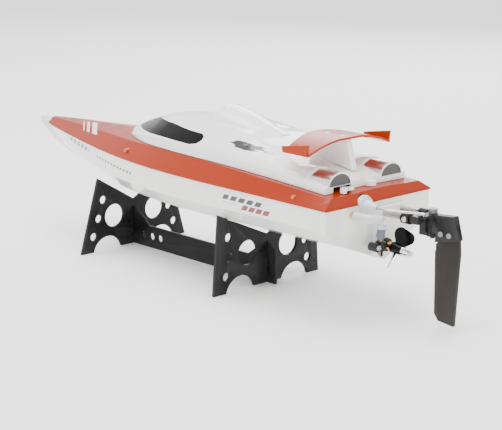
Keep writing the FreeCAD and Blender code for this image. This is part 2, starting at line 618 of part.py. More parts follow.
def build_latch():
    base = rise("latch_base")
    hub = rod("latch_hub", "z", (station("latch_x"), "latch_y", base), "latch_width * 0.5", "latch_high")
    arm = box("latch_arm", (station("latch_x - latch_width * 0.4"), "latch_y - latch_reach",
                            rise("latch_arm_base")),
              (station("latch_x + latch_width * 0.4"), "latch_y", rise("latch_arm_base + latch_arm_thick")))
    bore = rod("latch_bore", "z", (station("latch_x"), "latch_y", rise("5")), "0.9 + fit", "12")
    keep(cut("latch_solid", fuse("latch_body", hub, arm), bore), "cover_latch")
    stem = rod("latch_stem", "z", (station("latch_x"), "latch_y", rise("3")), "0.9",
               "latch_base - 2.9 + latch_high")
    head = rod("latch_head", "z", (station("latch_x"), "latch_y", rise("latch_base + latch_high + 0.05")),
               "1.8", "0.9")
    keep(fuse("latch_pin", stem, head), "latch_screw")


def build_drive():
    tube = on_shaft("tube_body", "tube_aft", "(tube_fore - tube_aft) / cos(shaft_angle)", "tube_radius")
    bore = on_shaft("tube_bore", "tube_aft - 5", "(tube_fore - tube_aft) * 1.2", "shaft_radius + 0.3")
    keep(cut("tube_solid", tube, bore), "stern_tube")
    bearings = []
    shafts = on_shaft("bearing_bore", "tube_aft - 5", "(tube_fore - tube_aft) * 1.2", "shaft_radius + fit")
    for i, at in enumerate(("tube_aft + 0.5", "tube_fore - 8")):
        bearings.append(on_shaft(f"bearing_{i}", at, "6", "shaft_radius + 0.3"))
    keep(cut("bearings_solid", fuse("bearing_set", *bearings), shafts), "shaft_bearings")
    sleeve = on_shaft("sleeve_body", "tube_aft - 1", "6.4", "sleeve_radius")
    ring = cut("sleeve_ring", sleeve, on_shaft("sleeve_inner", "tube_aft", "24", "tube_radius"),
               on_shaft("sleeve_through", "tube_aft - 10", "24", "shaft_radius + 0.25"))
    keep(ring, "shaft_sleeve")
    keep(on_shaft("shaft_rod", "prop_x - 8", "(motor_aft - 11 - prop_x + 8) / cos(shaft_angle)",
                  "shaft_radius"),
         "drive_shaft")
    coupler = on_shaft("coupler_body", "motor_aft - 17", "11", "coupling_radius")
    bore = on_shaft("coupler_bore", "motor_aft - 20", "9 / cos(shaft_angle) + 0.02", "shaft_radius")
    tip = on_shaft("coupler_tip", "motor_aft - 12", "10", "1.15")
    keep(cut("coupler_solid", coupler, bore, tip), "shaft_coupling")
    keep(on_shaft("rotor_rod", "motor_aft - 10.9", "motor_length + 5", "1.15"), "motor_shaft")
    spin_gap = on_shaft("motor_bore", "motor_aft - 3", "motor_length + 20", "1.15 + 0.4")
    can = on_shaft("can_body", "motor_aft", "motor_length", "motor_radius")
    keep(cut("can_solid", can, spin_gap), "motor_can")
    bell = on_shaft("bell_body", "motor_aft + motor_length * cos(shaft_angle)", "5", "motor_radius * 0.86")
    keep(bell, "motor_endbell")
    jacket = on_shaft("jacket_body", "motor_aft + 8", "20", "motor_radius + jacket_wall")
    hole = on_shaft("jacket_bore", "motor_aft + 4", "30", "motor_radius")
    barbs, bores = jacket_barbs()
    keep(cut("jacket_solid", fuse("jacket_with_barbs", jacket, *barbs), hole, *bores), "water_jacket")
    build_mount()
    build_propeller()


def jacket_barbs():
    """The jacket's two hose barbs, one on each side of the motor."""
    barbs = []
    bores = []
    for i, (at, side) in enumerate((("motor_aft + 12", 1), ("motor_aft + 24", -1))):
        place = (station(at), f"{side} * 7")
        barbs.append(rod(f"barb_{i}", "z", place + (f"{shaft_z(at)} + motor_radius - 2",), "1.8", "9"))
        bores.append(rod(f"barb_bore_{i}", "z", place + (f"{shaft_z(at)} + motor_radius - 4",), "1.1",
                         "16"))
    return barbs, bores


def build_mount():
    low = rise("-keel_depth")
    wall = box("mount_wall", (station("motor_aft - 4.2"), "-15", low), (station("motor_aft - 1.6"), "15", rise("1")))
    holes = [on_shaft("mount_bore", "motor_aft - 12", "20", "4.2")]
    screws = []
    for i, side in enumerate((-1, 1)):
        stem = on_shaft(f"mount_stem_{i}", "motor_aft - 4.6", "7", "0.8")
        head = on_shaft(f"mount_head_{i}", "motor_aft - 6.2", "1.7", "1.8")
        for item in (stem, head):
            tie(item, {"Placement.Base.y": f"{side} * 9"})
        screws.append(fuse(f"motor_screw_{i}", stem, head))
    form = hull_form("mount_clip", "(skin + 0.1)", 0, len(LINES) - 4, "6")
    face = on_shaft("motor_face", "motor_aft", "60", "motor_radius + jacket_wall + 1")
    slab = cut("mount_slab", common("mount_in_hull", fuse("mount_block", wall, box(
        "mount_foot", (station("motor_aft - 4.2"), "-15", low),
        (station("motor_aft + motor_length"), "15", rise("-keel_depth * 0.82"))), plinth_block()), form),
        *holes, face)
    spacer = on_shaft("mount_spacer", "motor_aft - 1.7", "1.7", "10")
    base = fuse("mount_with_spacer", slab, cut("spacer_ring", spacer, on_shaft(
        "spacer_bore", "motor_aft - 12", "20", "4.2")))
    keep(cut("mount_solid", base, *screws), "motor_mount")
    can = doc.getObject("can_solid")
    can.Tool = fuse("can_tools", can.Tool, *screws)
    keep(fuse("motor_screw_set", *screws), "motor_screws")


def plinth_block():
    return box("mount_web", (station("motor_aft - 4.2"), "-15", rise("-keel_depth")),
               (station("motor_aft + 3"), "15", rise("-keel_depth * 0.74")))


def blade_section(name, turn, radius, wide, thick, pitch):
    """One thin lens across a blade, at a radius, turned to the blade's pitch."""
    slope = FreeCAD.Rotation(V(0, 1, 0), 90 - number("shaft_angle"))
    around = FreeCAD.Rotation(V(0, 0, 1), turn)
    facing = FreeCAD.Rotation(V(0, 1, 0), 90)
    twist = FreeCAD.Rotation(V(0, 0, 1), pitch)
    sketch = doc.addObject("Sketcher::SketchObject", name)
    whole = slope.multiply(around).multiply(facing)
    sketch.Placement.Rotation = whole.multiply(twist)
    centre = slope.multiply(around).multVec(V(number(radius), 0, number("prop_hub_length") * 0.5))
    start = V(number(station("prop_x")), 0, number(shaft_z("prop_x")))
    sketch.Placement.Base = start + centre
    points = [(f"{wide} * 0.5", "0"), (f"{wide} * 0.2", thick), (f"-{wide} * 0.3", thick),
              (f"-{wide} * 0.5", "0"), (f"-{wide} * 0.2", f"-({thick}) * 0.3"), (f"{wide} * 0.2", f"-({thick}) * 0.3")]
    return outline(sketch, points)


def build_propeller():
    hub = on_shaft("prop_hub", "prop_x", "prop_hub_length", "prop_hub_radius * 0.86", "prop_hub_radius")
    blades = []
    for i, turn in enumerate((215, 35)):
        rows = (("prop_hub_radius * 0.7", "7", "1.1", 40), ("prop_radius * 0.45", "12.5", "0.9", 50),
                ("prop_radius * 0.75", "15.5", "0.7", 56), ("prop_radius * 0.93", "12.5", "0.5", 59),
                ("prop_radius", "7", "0.3", 60))
        blades.append(loft(f"blade_{i}", [blade_section(f"blade_{i}_{j}", turn, *row)
                                          for j, row in enumerate(rows)]))
    bore = on_shaft("prop_bore", "prop_x - 10", "30", "shaft_radius")
    keep(cut("prop_solid", fuse("prop_body", hub, *blades), bore), "propeller")
    nut = doc.addObject("Part::Prism", "nut_body")
    nut.Polygon = 6
    nut.Placement.Rotation = FreeCAD.Rotation(V(0, 1, 0), 83)
    tie(nut, {"Circumradius": "3", "Height": "3.4", "Placement.Rotation.Angle": "90 - shaft_angle",
              "Placement.Base.x": station("prop_x - 5.6"), "Placement.Base.z": shaft_z("prop_x - 5.6")})
    dome = on_shaft("nut_dome", "prop_x - 2.3", "2.3", "3.2")
    keep(cut("nut_solid", fuse("nut_joined", nut, dome), on_shaft("nut_bore", "prop_x - 12", "20",
                                                                  "shaft_radius")),
         "prop_nut")


def build_rudder():
    arms = []
    collars = []
    screws = []
    nuts = []
    arm_z = rise("-arm_drop")
    for side in (-1, 1):
        y = f"rudder_y + {side} * arm_spread"
        stem = rod(f"arm_stem_{side + 1}", "x", (station("arm_aft"), y, arm_z), "arm_radius",
                   "-arm_aft - pad_depth")
        inside = rod(f"arm_root_{side + 1}", "x", (station("arm_aft"), y, arm_z), "arm_radius * 0.66",
                     "-arm_aft + 9")
        arms.append(fuse(f"arm_{side + 1}", stem, inside))
        nut = rod(f"nut_round_{side + 1}", "x", (station("pad_depth"), y, arm_z), "3.2", "2.6")
        hole = rod(f"nut_hole_{side + 1}", "x", (station("-2"), y, arm_z), "arm_radius * 0.66", "12")
        nuts.append(cut(f"arm_nut_{side + 1}", nut, hole))
        ring = rod(f"collar_{side + 1}", "x", (station("arm_aft - 3.5"), y, arm_z), "collar_radius", "6.5")
        bore = rod(f"collar_bore_{side + 1}", "x", (station("arm_aft"), y, arm_z), "arm_radius", "12")
        pin = rod(f"collar_pin_{side + 1}", "y", (station("arm_aft - 1.2"),
                                                  f"{y} + {side} * 0.5 * collar_radius - 2.1",
                                                  arm_z), "1.0", "4.2")
        head = rod(f"collar_head_{side + 1}", "y", (station("arm_aft - 1.2"),
                   f"{y} + {side} * (collar_radius + 0.35) - 0.6", arm_z), "1.9", "1.2")
        screw = fuse(f"collar_screw_{side + 1}", pin, head)
        screws.append(screw)
        collars.append(cut(f"collar_cut_{side + 1}", ring, bore, screw))
    keep(fuse("arm_pair", *arms), "rudder_arms")
    keep(fuse("arm_nut_set", *nuts), "arm_nuts")
    screws.append(clamp_screw())
    keep(fuse("collar_screw_set", *screws), "collar_screws")
    yoke = []
    top = "-arm_drop + bracket_high * 0.5"
    for side in (-1, 1):
        y = f"rudder_y + {side} * arm_spread"
        low = f"{y} - 1.7"
        bar = box(f"yoke_bar_{side + 1}", (station("bracket_aft"), low,
                                           rise("-arm_drop - bracket_high * 0.5")),
                  (station("arm_aft - 3.4"), f"{low} + 3.4", rise(top)))
        yoke.append(bar)
    ear_top = rod("yoke_ear_top", "z", (station("rudder_x"), "rudder_y", rise("barrel_top - 3.5")),
                  "barrel_radius", "1.6")
    ear_low = rod("yoke_ear_low", "z", (station("rudder_x"), "rudder_y", rise("barrel_base")),
                  "barrel_radius", "2.6")
    back = box("yoke_back", (station("rudder_x + barrel_radius + 0.5"), "rudder_y - 2.6",
                             rise("barrel_base")),
               (station("bracket_aft + 5.5"), "rudder_y + 2.6", rise("barrel_top - 1.9")))
    low_web = box("yoke_low_web", (station("rudder_x"), "rudder_y - 2.6", rise("barrel_base")),
                  (station("rudder_x + barrel_radius + 1"), "rudder_y + 2.6", rise("barrel_base + 2.6")))
    top_web = box("yoke_top_web", (station("rudder_x"), "rudder_y - 2.6", rise("barrel_top - 3.5")),
                  (station("rudder_x + barrel_radius + 1"), "rudder_y + 2.6", rise("barrel_top - 1.9")))
    rear = box("yoke_tie", (station("bracket_aft + 1.6"), "rudder_y - arm_spread - 1.7",
                            rise("-arm_drop - bracket_high * 0.5")),
               (station("bracket_aft + 5.4"), "rudder_y + arm_spread + 1.7", rise(top)))
    hinge = rod("yoke_bore", "z", (station("rudder_x"), "rudder_y", rise("barrel_base - 3")), "pin_radius",
                "40")
    keep(cut("bracket_solid", fuse("bracket_body", rear, *yoke, *collars, ear_top, ear_low, back, low_web,
                                   top_web), hinge), "rudder_bracket")
    bolt = rod("bolt_stem", "z", (station("rudder_x"), "rudder_y", rise("barrel_base - 1.4")), "pin_radius",
               "barrel_top - barrel_base + 1.6")
    head = rod("bolt_head", "z", (station("rudder_x"), "rudder_y", rise("barrel_top + 0.1")), "3.1", "3.4")
    keep(fuse("bolt_solid", bolt, head), "rudder_pivot_bolt")
    build_blade()


def clamp_screw():
    """The pickup clamp's screw, facing aft."""
    at = ("pickup_y + 5.4", rise("-shaft_drop + 0.1"))
    return fuse("clamp_screw_solid", rod("clamp_stem", "x", (station("pickup_x - 2.6"),) + at, "1.1",
                                         "5.6"),
                rod("clamp_head", "x", (station("pickup_x - 4.2"),) + at, "1.9", "1.6"))


def build_blade():
    x = "rudder_x"
    hub_low = "barrel_base + 2.6 + 0.2"
    hub_top = "barrel_top - 3.7"
    hub = rod("holder_hub", "z", (station(x), "rudder_y", rise(hub_low)), "barrel_radius - 0.2",
              f"{hub_top} - ({hub_low})")
    cheek = plate("holder_cheek", [
        (station(f"{x} + 1"), rise(hub_top)), (station(f"{x} - 4.4"), rise(hub_top)),
        (station(f"{x} - 4.4"), rise("barrel_top")), (station(f"{x} - 19"), rise("barrel_top + 1.2")),
        (station(f"{x} - 23.4"), rise("blade_top + 1.6")), (station(f"{x} - 4.4"), rise("blade_top - 2.4")),
        (station(f"{x} - 4.4"), rise(hub_low)), (station(f"{x} + 1"), rise(hub_low))],
        "XZ_Plane", "rudder_y + 2.9", "5.8")
    slot = plate("blade_slot", [
        (station(f"{x} - 5.5"), rise("blade_base - 20")), (station(f"{x} - 5.5"), rise("barrel_base + 7")),
        (station(f"{x} - 21"), rise("barrel_base + 9")), (station(f"{x} - 40"), rise("barrel_base + 9")),
        (station(f"{x} - 40"), rise("blade_base - 20"))], "XZ_Plane", "rudder_y + blade_thick * 0.5",
        "blade_thick")
    low_ear = rod("holder_low_swing", "z", (station(x), "rudder_y", rise("barrel_base - 8")),
                  "barrel_radius + 0.5",
                  "8 + 2.6 + 0.2")
    bore = rod("holder_bore", "z", (station(x), "rudder_y", rise("barrel_base - 9")), "pin_radius + fit",
               "40")
    bolts = []
    for i, (dx, dz) in enumerate((("-9.5", "barrel_base + 3.4"), ("-16.5", "barrel_base + 3.6"))):
        stem = rod(f"blade_stem_{i}", "y", (station(f"{x} + ({dx})"), "rudder_y - 3.6", rise(dz)), "0.9",
                   "7.2")
        head = rod(f"blade_head_{i}", "y", (station(f"{x} + ({dx})"), "rudder_y + 2.9", rise(dz)), "1.8",
                   "1.1")
        nut = rod(f"blade_nut_{i}", "y", (station(f"{x} + ({dx})"), "rudder_y - 4.2", rise(dz)), "1.9",
                  "1.3")
        bolts.append(fuse(f"blade_bolt_{i}", stem, head, nut))
    bolt_set = keep(fuse("blade_bolts", *bolts), "rudder_screws")
    tab = box("tiller_tab", (station(f"{x} - 8"), "rudder_y - 2.6", rise("barrel_top - 1.6")),
              (station(x), "rudder_y + 2.6", rise("barrel_top + 0.01")))
    arm = box("tiller_blank", (station(f"{x} - 2.6"), "rudder_y", rise("barrel_top - 1.6")),
              (station(f"{x} + 2.6"), "rudder_y + tiller_radius + 3", rise("barrel_top")))
    eye = rod("tiller_eye", "z", (station(x), "rudder_y", rise("barrel_top - 1.6")), "barrel_radius", "1.6")
    groove = box("tiller_slot", (station(f"{x} - rod_radius - slot_gap"),
                                 "rudder_y + tiller_radius - rod_radius - 0.4",
                                 rise("-arm_drop - 10")),
                 (station(f"{x} + rod_radius + slot_gap"), "rudder_y + tiller_radius + 6",
                  rise("-arm_drop + 10")))
    keep(cut("holder_solid", fuse("holder_body", hub, cheek), slot, bore, bolt_set, low_ear, tab),
         "rudder_holder")
    key = common("tiller_key", tab, cheek)
    keep(cut("tiller_solid", fuse("tiller_body", arm, eye, tab, key), groove, bore), "tiller_arm")
    blade = plate("blade_plan", [
        (station(f"{x} - 5.6"), rise("barrel_base + 6.8")), (station(f"{x} - 20.5"),
                                                             rise("barrel_base + 8.6")),
        (station(f"{x} - 23.2"), rise("blade_top + 1.6")), (station(f"{x} - blade_chord - 1.4"),
                                                            rise("blade_top - 8")),
        (station(f"{x} - blade_chord + 1.4"), rise("blade_base")),
        (station(f"{x} - 8"), rise("blade_base + 1.4")), (station(f"{x} - 4.6"), rise("blade_base + 6")),
        (station(f"{x} - 3.4"), rise("blade_top - 4")), (station(f"{x} - 5.6"), rise("blade_top - 2.6"))],
        "XZ_Plane", "rudder_y + blade_thick * 0.5 - 0.02", "blade_thick - 0.04")
    clear = rod("rudder_clear", "z", (station(x), "rudder_y", rise("barrel_base - 9")),
                "barrel_radius + 0.6", "11.8")
    keep(cut("blade_solid", blade, clear, bolt_set), "rudder_blade")


def build_steering():
    build_rod()
    build_boot()
    horn_z = "-rod_drop - 3.2"
    servo_y = "rod_y + tiller_radius"
    arm = box("horn_arm", (station("servo_x - 2.6"), "rod_y - 3", rise(horn_z)),
              (station("servo_x + 2.6"), servo_y, rise(f"{horn_z} + 1.8")))
    hub = rod("horn_hub", "z", (station("servo_x"), servo_y, rise(horn_z)), "3.2", "3.4")
    slot = box("horn_slot", (station("servo_x - rod_radius - slot_gap"),
                             "rod_y - 6", rise("-20")),
               (station("servo_x + rod_radius + slot_gap"), "rod_y + rod_radius + 0.4", rise("10")))
    keep(cut("horn_solid", fuse("horn_body", arm, hub), slot), "servo_horn")
    build_servo(servo_y, f"{horn_z} - 1.2")


def build_rod():
    """The push rod, straight through the boot and bent across to the tiller's pin."""
    end_y = "rudder_y + tiller_radius"
    spine = [("servo_x", "rod_y", "-rod_drop"), ("-19.5", "rod_y", "-rod_drop"), ("rudder_x", end_y, "-rod_low")]
    wire = run("rod_wire", spine, "rod_radius", None, 0.12)
    up = rod("rod_end_aft", "z", (station("rudder_x"), end_y, rise("-rod_low - 2.6")), "rod_radius", "2.6")
    down = rod("rod_end_fore", "z", (station("servo_x"), "rod_y", rise("-rod_drop - 4")), "rod_radius", "4")
    tips = [ball("rod_knee_aft", "rudder_x", end_y, "-rod_low"),
            ball("rod_knee_fore", "servo_x", "rod_y", "-rod_drop")]
    keep(fuse("rod_solid", wire, up, down, *tips), "push_rod")


def build_boot():
    at = ("rod_y", rise("-rod_drop"))
    base = rod("boot_base", "x", (station("-1"),) + at, "6.2", "2")
    skirt = cone("boot_cone", "x", (station("-10"),) + at, "1.8", "4.7", "9")
    inner = cone("boot_hollow", "x", (station("-8"),) + at, "1.2", "3.8", "9.1")
    hole = rod("boot_hole", "x", (station("-14"),) + at, "rod_radius + 0.25", "20")
    keep(cut("boot_solid", fuse("boot_body", base, skirt), inner, hole), "rod_boot")


def build_servo(servo_y, case_top):
    """The steering servo, its two screws and the two posts that it stands on."""
    case = box("servo_block", (station("servo_x - 6"), f"{servo_y} - 6", rise(f"{case_top} - 19")),
               (station("servo_x + 17"), f"{servo_y} + 6", rise(case_top)))
    ears = box("servo_ears", (station("servo_x - 10.5"), f"{servo_y} - 6", rise(f"{case_top} - 6.5")),
               (station("servo_x + 21.5"), f"{servo_y} + 6", rise(f"{case_top} - 4.5")))
    spline = rod("servo_spline", "z", (station("servo_x"), servo_y, rise(case_top)), "2.2", "1.15")
    legs = []
    screws = []
    for i, (a, b) in enumerate((("servo_x - 11", "servo_x - 6.3"), ("servo_x + 17.3", "servo_x + 22"))):
        legs.append(box(f"servo_leg_{i}", (station(a), f"{servo_y} - 6", rise("-keel_depth")),
                        (station(b), f"{servo_y} + 6", rise(f"{case_top} - 6.55"))))
        at = (station(f"({a} + {b}) * 0.5"), servo_y)
        stem = rod(f"servo_stem_{i}", "z", at + (rise(f"{case_top} - 9.5"),), "0.8", "5")
        head = rod(f"servo_head_{i}", "z", at + (rise(f"{case_top} - 4.5"),), "1.7", "1.1")
        screws.append(fuse(f"servo_screw_{i}", stem, head))
    screw_set = keep(fuse("servo_screw_set", *screws), "servo_screws")
    keep(cut("servo_solid", fuse("servo_body", case, ears, spline), screw_set), "servo_case")
    posts = common("servo_mount_fit", fuse("servo_legs", *legs), doc.getObject("mount_clip"))
    keep(cut("servo_mount_solid", posts, screw_set), "servo_mount")


def ball(name, x, y, z):
    item = doc.addObject("Part::Sphere", name)
    tie(item, {"Radius": "rod_radius", "Placement.Base.x": station(x), "Placement.Base.y": y,
               "Placement.Base.z": rise(z)})
    return item


def build_cooling():
    pick = rod("pickup_body", "z", (station("pickup_x"), "pickup_y", rise("pickup_base")), "pickup_radius",
               "pickup_top - pickup_base")
    bore = rod("pickup_bore", "z", (station("pickup_x"), "pickup_y", rise("pickup_base - 1")),
               "pickup_radius - 0.6", "pickup_top - pickup_base + 3")
    scoop_cut = doc.addObject("Part::Box", "pickup_scoop")
    scoop_cut.Placement.Rotation = FreeCAD.Rotation(V(0, 1, 0), -40)
    tie(scoop_cut, {"Length": "12", "Width": "12", "Height": "6",
                    "Placement.Base.x": station("pickup_x - 2.4"),
                    "Placement.Base.y": "pickup_y - 6", "Placement.Base.z": rise("pickup_base - 6")})
    keep(cut("pickup_solid", pick, bore, scoop_cut), "pickup_tube")
    grip = [box("clamp_web", (station("pickup_x + 0.4"), "0", rise("-shaft_drop - 3")),
                (station("pickup_x + 3.1"), "pickup_y + 1", rise("-shaft_drop + 3.2"))),
            on_shaft("clamp_ring", "pickup_x + 0.4", "2.2", "sleeve_radius + 1.6"),
            rod("clamp_barrel", "z", (station("pickup_x"), "pickup_y", rise("-shaft_drop - 3")),
                "pickup_radius + 1.4", "6.2"),
            rod("clamp_lug", "x", (station("pickup_x - 2.6"), "pickup_y + 5.4", rise("-shaft_drop + 0.1")),
                "3.1", "6.4")]
    screw = doc.getObject("clamp_screw_solid")
    keep(cut("clamp_solid", fuse("clamp_body", *grip), on_shaft("clamp_bore", "pickup_x - 6", "14",
                                                                "sleeve_radius"),
             rod("clamp_hole", "z", (station("pickup_x"), "pickup_y", rise("-shaft_drop - 6")),
                 "pickup_radius", "14"),
             screw), "pickup_clamp")
    fitting = fuse("fitting_body", rod("fitting_pipe", "x", (station("-7"), "hose_y", rise("-hose_drop")),
                                       "hose_bore", "18"),
                   rod("fitting_collar", "x", (station("pad_depth"), "hose_y", rise("-hose_drop")), "4",
                       "2"))
    keep(cut("fitting_solid", fitting, rod("fitting_bore", "x", (station("-9"), "hose_y",
                                                                 rise("-hose_drop")),
                                           "hose_bore - 0.7", "24")), "hose_fitting")
    x, y = "pickup_x", "pickup_y"
    outer = run("hose_outer", [("-2", "hose_y", "-hose_drop"), ("-12.5", "hose_y - 0.8",
                                                                "-hose_drop - 0.4"),
                               ("-15.5", "hose_y - 8.5", "-hose_drop - 1.6"), (f"{x} - 2.2", f"{y} + 0.4", "-hose_drop - 5.5"),
                               (x, y, "pickup_top - 3")], "hose_radius", "hose_bore")
    plug = rod("pickup_plug", "z", (station(x), y, rise("pickup_top - 6")), "pickup_radius", "6")
    pipe = rod("fitting_plug", "x", (station("-8"), "hose_y", rise("-hose_drop")), "hose_bore", "19")
    keep(cut("hose_cut", outer, plug, pipe), "cooling_hose")
    jacket_x = "motor_aft + 12"
    out_x = "motor_aft + 24"
    level = f"{shaft_z(jacket_x)} - sheer_z + motor_radius + 6.5"
    inlet = run("inlet_run", [("8", "hose_y", "-hose_drop"), ("20", "hose_y", "-hose_drop"),
                              ("30", "hose_y + 9", "-hose_drop"), ("66", "hose_y + 9", "-hose_drop"),
                              ("98", "hose_y", "-hose_drop + 4"), (jacket_x, "14", "-hose_drop + 14"),
                              (jacket_x, "7", level)], "hose_radius * 0.85", "1.8")
    outlet = run("outlet_run", [(out_x, "-7", level), (out_x, "-16", f"{level} + 5"),
                                ("motor_aft + 2", "-28", "0"), ("84", "-34", "-6"), ("54", "-35", "-8"),
                                ("40", "-37", "-8"), ("40", "-47.5", "-8")], "hose_radius * 0.85", "1.8")
    barbs = doc.getObject("jacket_with_barbs")
    spout = rod("drain_pipe", "y", (station("40"), "-half_beam - 1.6", rise("-8")), "2.2", "9.6")
    keep(cut("inlet_cut", inlet, barbs, pipe), "inlet_hose")
    keep(cut("outlet_cut", outlet, barbs, spout), "outlet_hose")
    drain = fuse("drain_body", spout,
                 rod("drain_flange", "y", (station("40"), "-half_beam - 1.4", rise("-8")), "3.6", "1.6"))
    keep(cut("drain_solid", drain, rod("drain_bore", "y", (station("40"), "-half_beam - 6", rise("-8")),
                                       "1.4", "20"),
             doc.getObject("hull_solid")), "water_outlet")


def build_electrics():
    floor = rise("-keel_depth * 0.60")
    tray = box("tray_block", (station("186"), "-18", rise("-keel_depth")), (station("262"), "18", floor))
    keep(box("battery_block", (station("190"), "-15.5", f"{floor} + 0.05"), (station("258"), "15.5", f"{floor} + 18")),
         "battery_pack")
    band = box("strap_outer", (station("216"), "-17", f"{floor} + 0.05"), (station("230"), "17", f"{floor} + 19.3"))
    keep(cut("strap_solid", band, box("strap_inner", (station("214"), "-15.6", f"{floor} - 5"),
                                      (station("232"), "15.6", f"{floor} + 18.1"))), "battery_strap")
    rack = box("rack_block", (station("158"), "-16", rise("-keel_depth")), (station("180"), "16", rise("-keel_depth * 0.56")))
    spine = box("tray_spine", (station("170"), "-8", rise("-keel_depth")), (station("200"), "8", rise("-keel_depth * 0.8")))
    keep(common("tray_solid", fuse("tray_blocks", tray, rack, spine), doc.getObject("mount_clip")),
         "equipment_tray")
    deck_level = rise("-keel_depth * 0.56 + 0.05")
    receiver = keep(box("receiver_block", (station("157"), "-17", deck_level), (station("181"), "17", f"{deck_level} + 12")),
                    "receiver_unit")
    leads = []
    end = "motor_aft + motor_length * cos(shaft_angle) + 4.6"
    for i, y in enumerate(("-4.5", "4.5")):
        leads.append(run(f"motor_lead_{i}", [(end, y, f"-shaft_drop + ({end}) * tan(shaft_angle) - 1"),
                                             (f"{end} + 2.9", y, "-12"), ("157.6", f"{y} * 1.6", "-14")],
                                             "1.1"))
    leads.append(run("battery_wire", [("180.6", "6", "-16"), ("185", "6", "-15.5"), ("190.4", "6", "-16")],
                     "1.6"))
    ends = [receiver, doc.getObject("bell_body"), doc.getObject("battery_block")]
    keep(cut("power_lead_cut", fuse("power_lead_set", *leads), *ends), "power_leads")
    wire = run("servo_wire", [("servo_x + 16.6", "rod_y + tiller_radius", "-7.4"), ("66", "rod_y + tiller_radius", "-7.4"),
                              ("100", "27", "-11"), ("130", "26", "-14"), ("157.6", "14", "-16")], "1.0")
    keep(cut("servo_lead_cut", wire, receiver, doc.getObject("servo_block")), "servo_lead")


def stand_plate(name, x, top_half, node):
    half = [("0", "plate_high * 0.64 - cradle_gap"), (top_half, "plate_high"), ("foot_half", "0"),
            ("foot_half - 14", "0"), ("14", "lobe_lift"), ("0", "lobe_lift")]
    points = half[:5] + [(f"-({y})", z) for y, z in reversed(half[1:5])]
    sheet_body = plate(name + "_sheet", points, "YZ_Plane", station(f"{x} - sheet_thick * 0.5"),
                       "sheet_thick")
    tools = []
    for side in (-1, 1):
        def hole(tag, y, z, radius):
            tools.append(rod(f"{name}_{tag}_{side + 1}", "x", (station(f"{x} - 5"), f"{side} * ({y})", z),
                             radius, "10"))
        hole("arch", "28", "-3.2", "14.6")
        hole("window", "21", "27.5", "big_hole")
        hole("low", "foot_half - 12.3", "12.8", "small_hole")
        hole("mid", f"foot_half - 14.2 - (foot_half - {top_half}) * 0.2", "27", "small_hole")
        hole("high", f"foot_half - 11.6 - (foot_half - {top_half}) * 0.62", "42", "small_hole")
    tools.append(box(f"{name}_lap", (station(f"{x} - 5"), "-sheet_thick * 0.5 - lap_gap", "-1"),
                     (station(f"{x} + 5"), "sheet_thick * 0.5 + lap_gap", "lap_level + lap_gap")))
    cradle = hull_form(name + "_cradle", "0", 0, len(LINES), "3")
    tie(cradle, {"Placement.Base.z": "-cradle_gap"})
    keep(cut(name + "_solid", sheet_body, cradle, *tools), node)


def build_stand():
    stand_plate("rear_stand", "rear_plate_x", "rear_top_half", "stand_rear_plate")
    stand_plate("front_stand", "front_plate_x", "front_top_half", "stand_front_plate")
    low = "lobe_lift"
    end = "sheet_thick * 0.5"
    outline_points = [
        (station("rear_plate_x - bar_end"), low), (station("front_plate_x + bar_end"), low),
        (station("front_plate_x + bar_end"), "27"), (station(f"front_plate_x + {end}"), "33"),
        (station(f"front_plate_x - {end}"), "33"), (station("front_plate_x - 20"), "bar_high"),
        (station("rear_plate_x + 20"), "bar_high"), (station(f"rear_plate_x + {end}"), "33"),
        (station(f"rear_plate_x - {end}"), "33"), (station("rear_plate_x - bar_end"), "27")]
    bar = plate("bar_sheet", outline_points, "XZ_Plane", "sheet_thick * 0.5", "sheet_thick")
    tools = []
    for i, x in enumerate(("rear_plate_x", "front_plate_x")):
        tools.append(box(f"bar_lap_{i}", (station(f"{x} - sheet_thick * 0.5 - lap_gap"), "-5", "lap_level"),
                         (station(f"{x} + sheet_thick * 0.5 + lap_gap"), "5", "60")))
    for i, back in enumerate((14, 24, 34)):
        tools.append(rod(f"bar_hole_{i}", "y", (station(f"front_plate_x - {back}"), "-5", "10.5"), "2.9",
                         "10"))
    cradle = hull_form("bar_cradle", "0", 0, len(LINES), "3")
    tie(cradle, {"Placement.Base.z": "-cradle_gap"})
    keep(cut("bar_solid", bar, cradle, *tools), "stand_bar")


def write_parts():
    doc.recompute()
    bad = [o.Name for o in doc.Objects if "Invalid" in o.State or "Error" in o.State]
    if bad:
        raise RuntimeError("failed objects: " + ", ".join(bad))
    for item in NODES:
        shape = item.Shape
        if shape.isNull() or not shape.isValid() or not shape.Solids:
            raise RuntimeError("bad shape in " + item.Label)
    os.makedirs("parts", exist_ok=True)
    for item in NODES:
        item.Shape.exportStep(f"parts/{item.Label}.step")
        print(item.Label, len(item.Shape.Solids), round(item.Shape.Volume, 1))


build_shells()
build_cover()
build_wing()
build_latch()
build_drive()
build_rudder()
build_steering()
build_cooling()
build_electrics()
build_stand()
write_parts()
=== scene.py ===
# %% [markdown]
# # A radio-controlled racing boat on its stand
# The boat's solids come ready made from the design step, already in their places. This lesson gives
# each one the finish of the real thing, adds the painted graphics, and sets up light and camera.

# %% Load the frame
import json
import math

import bpy
import bmesh
from mathutils import Matrix, Vector


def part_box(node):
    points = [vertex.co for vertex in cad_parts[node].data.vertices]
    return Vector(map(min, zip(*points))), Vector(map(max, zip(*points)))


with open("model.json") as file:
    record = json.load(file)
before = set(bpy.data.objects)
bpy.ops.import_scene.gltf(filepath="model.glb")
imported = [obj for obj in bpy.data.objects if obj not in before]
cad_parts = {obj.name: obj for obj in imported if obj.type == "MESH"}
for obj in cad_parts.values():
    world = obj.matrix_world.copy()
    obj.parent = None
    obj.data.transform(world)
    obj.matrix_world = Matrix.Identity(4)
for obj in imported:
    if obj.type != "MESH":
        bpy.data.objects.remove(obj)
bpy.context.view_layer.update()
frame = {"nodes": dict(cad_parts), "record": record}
NODES = frame["nodes"]

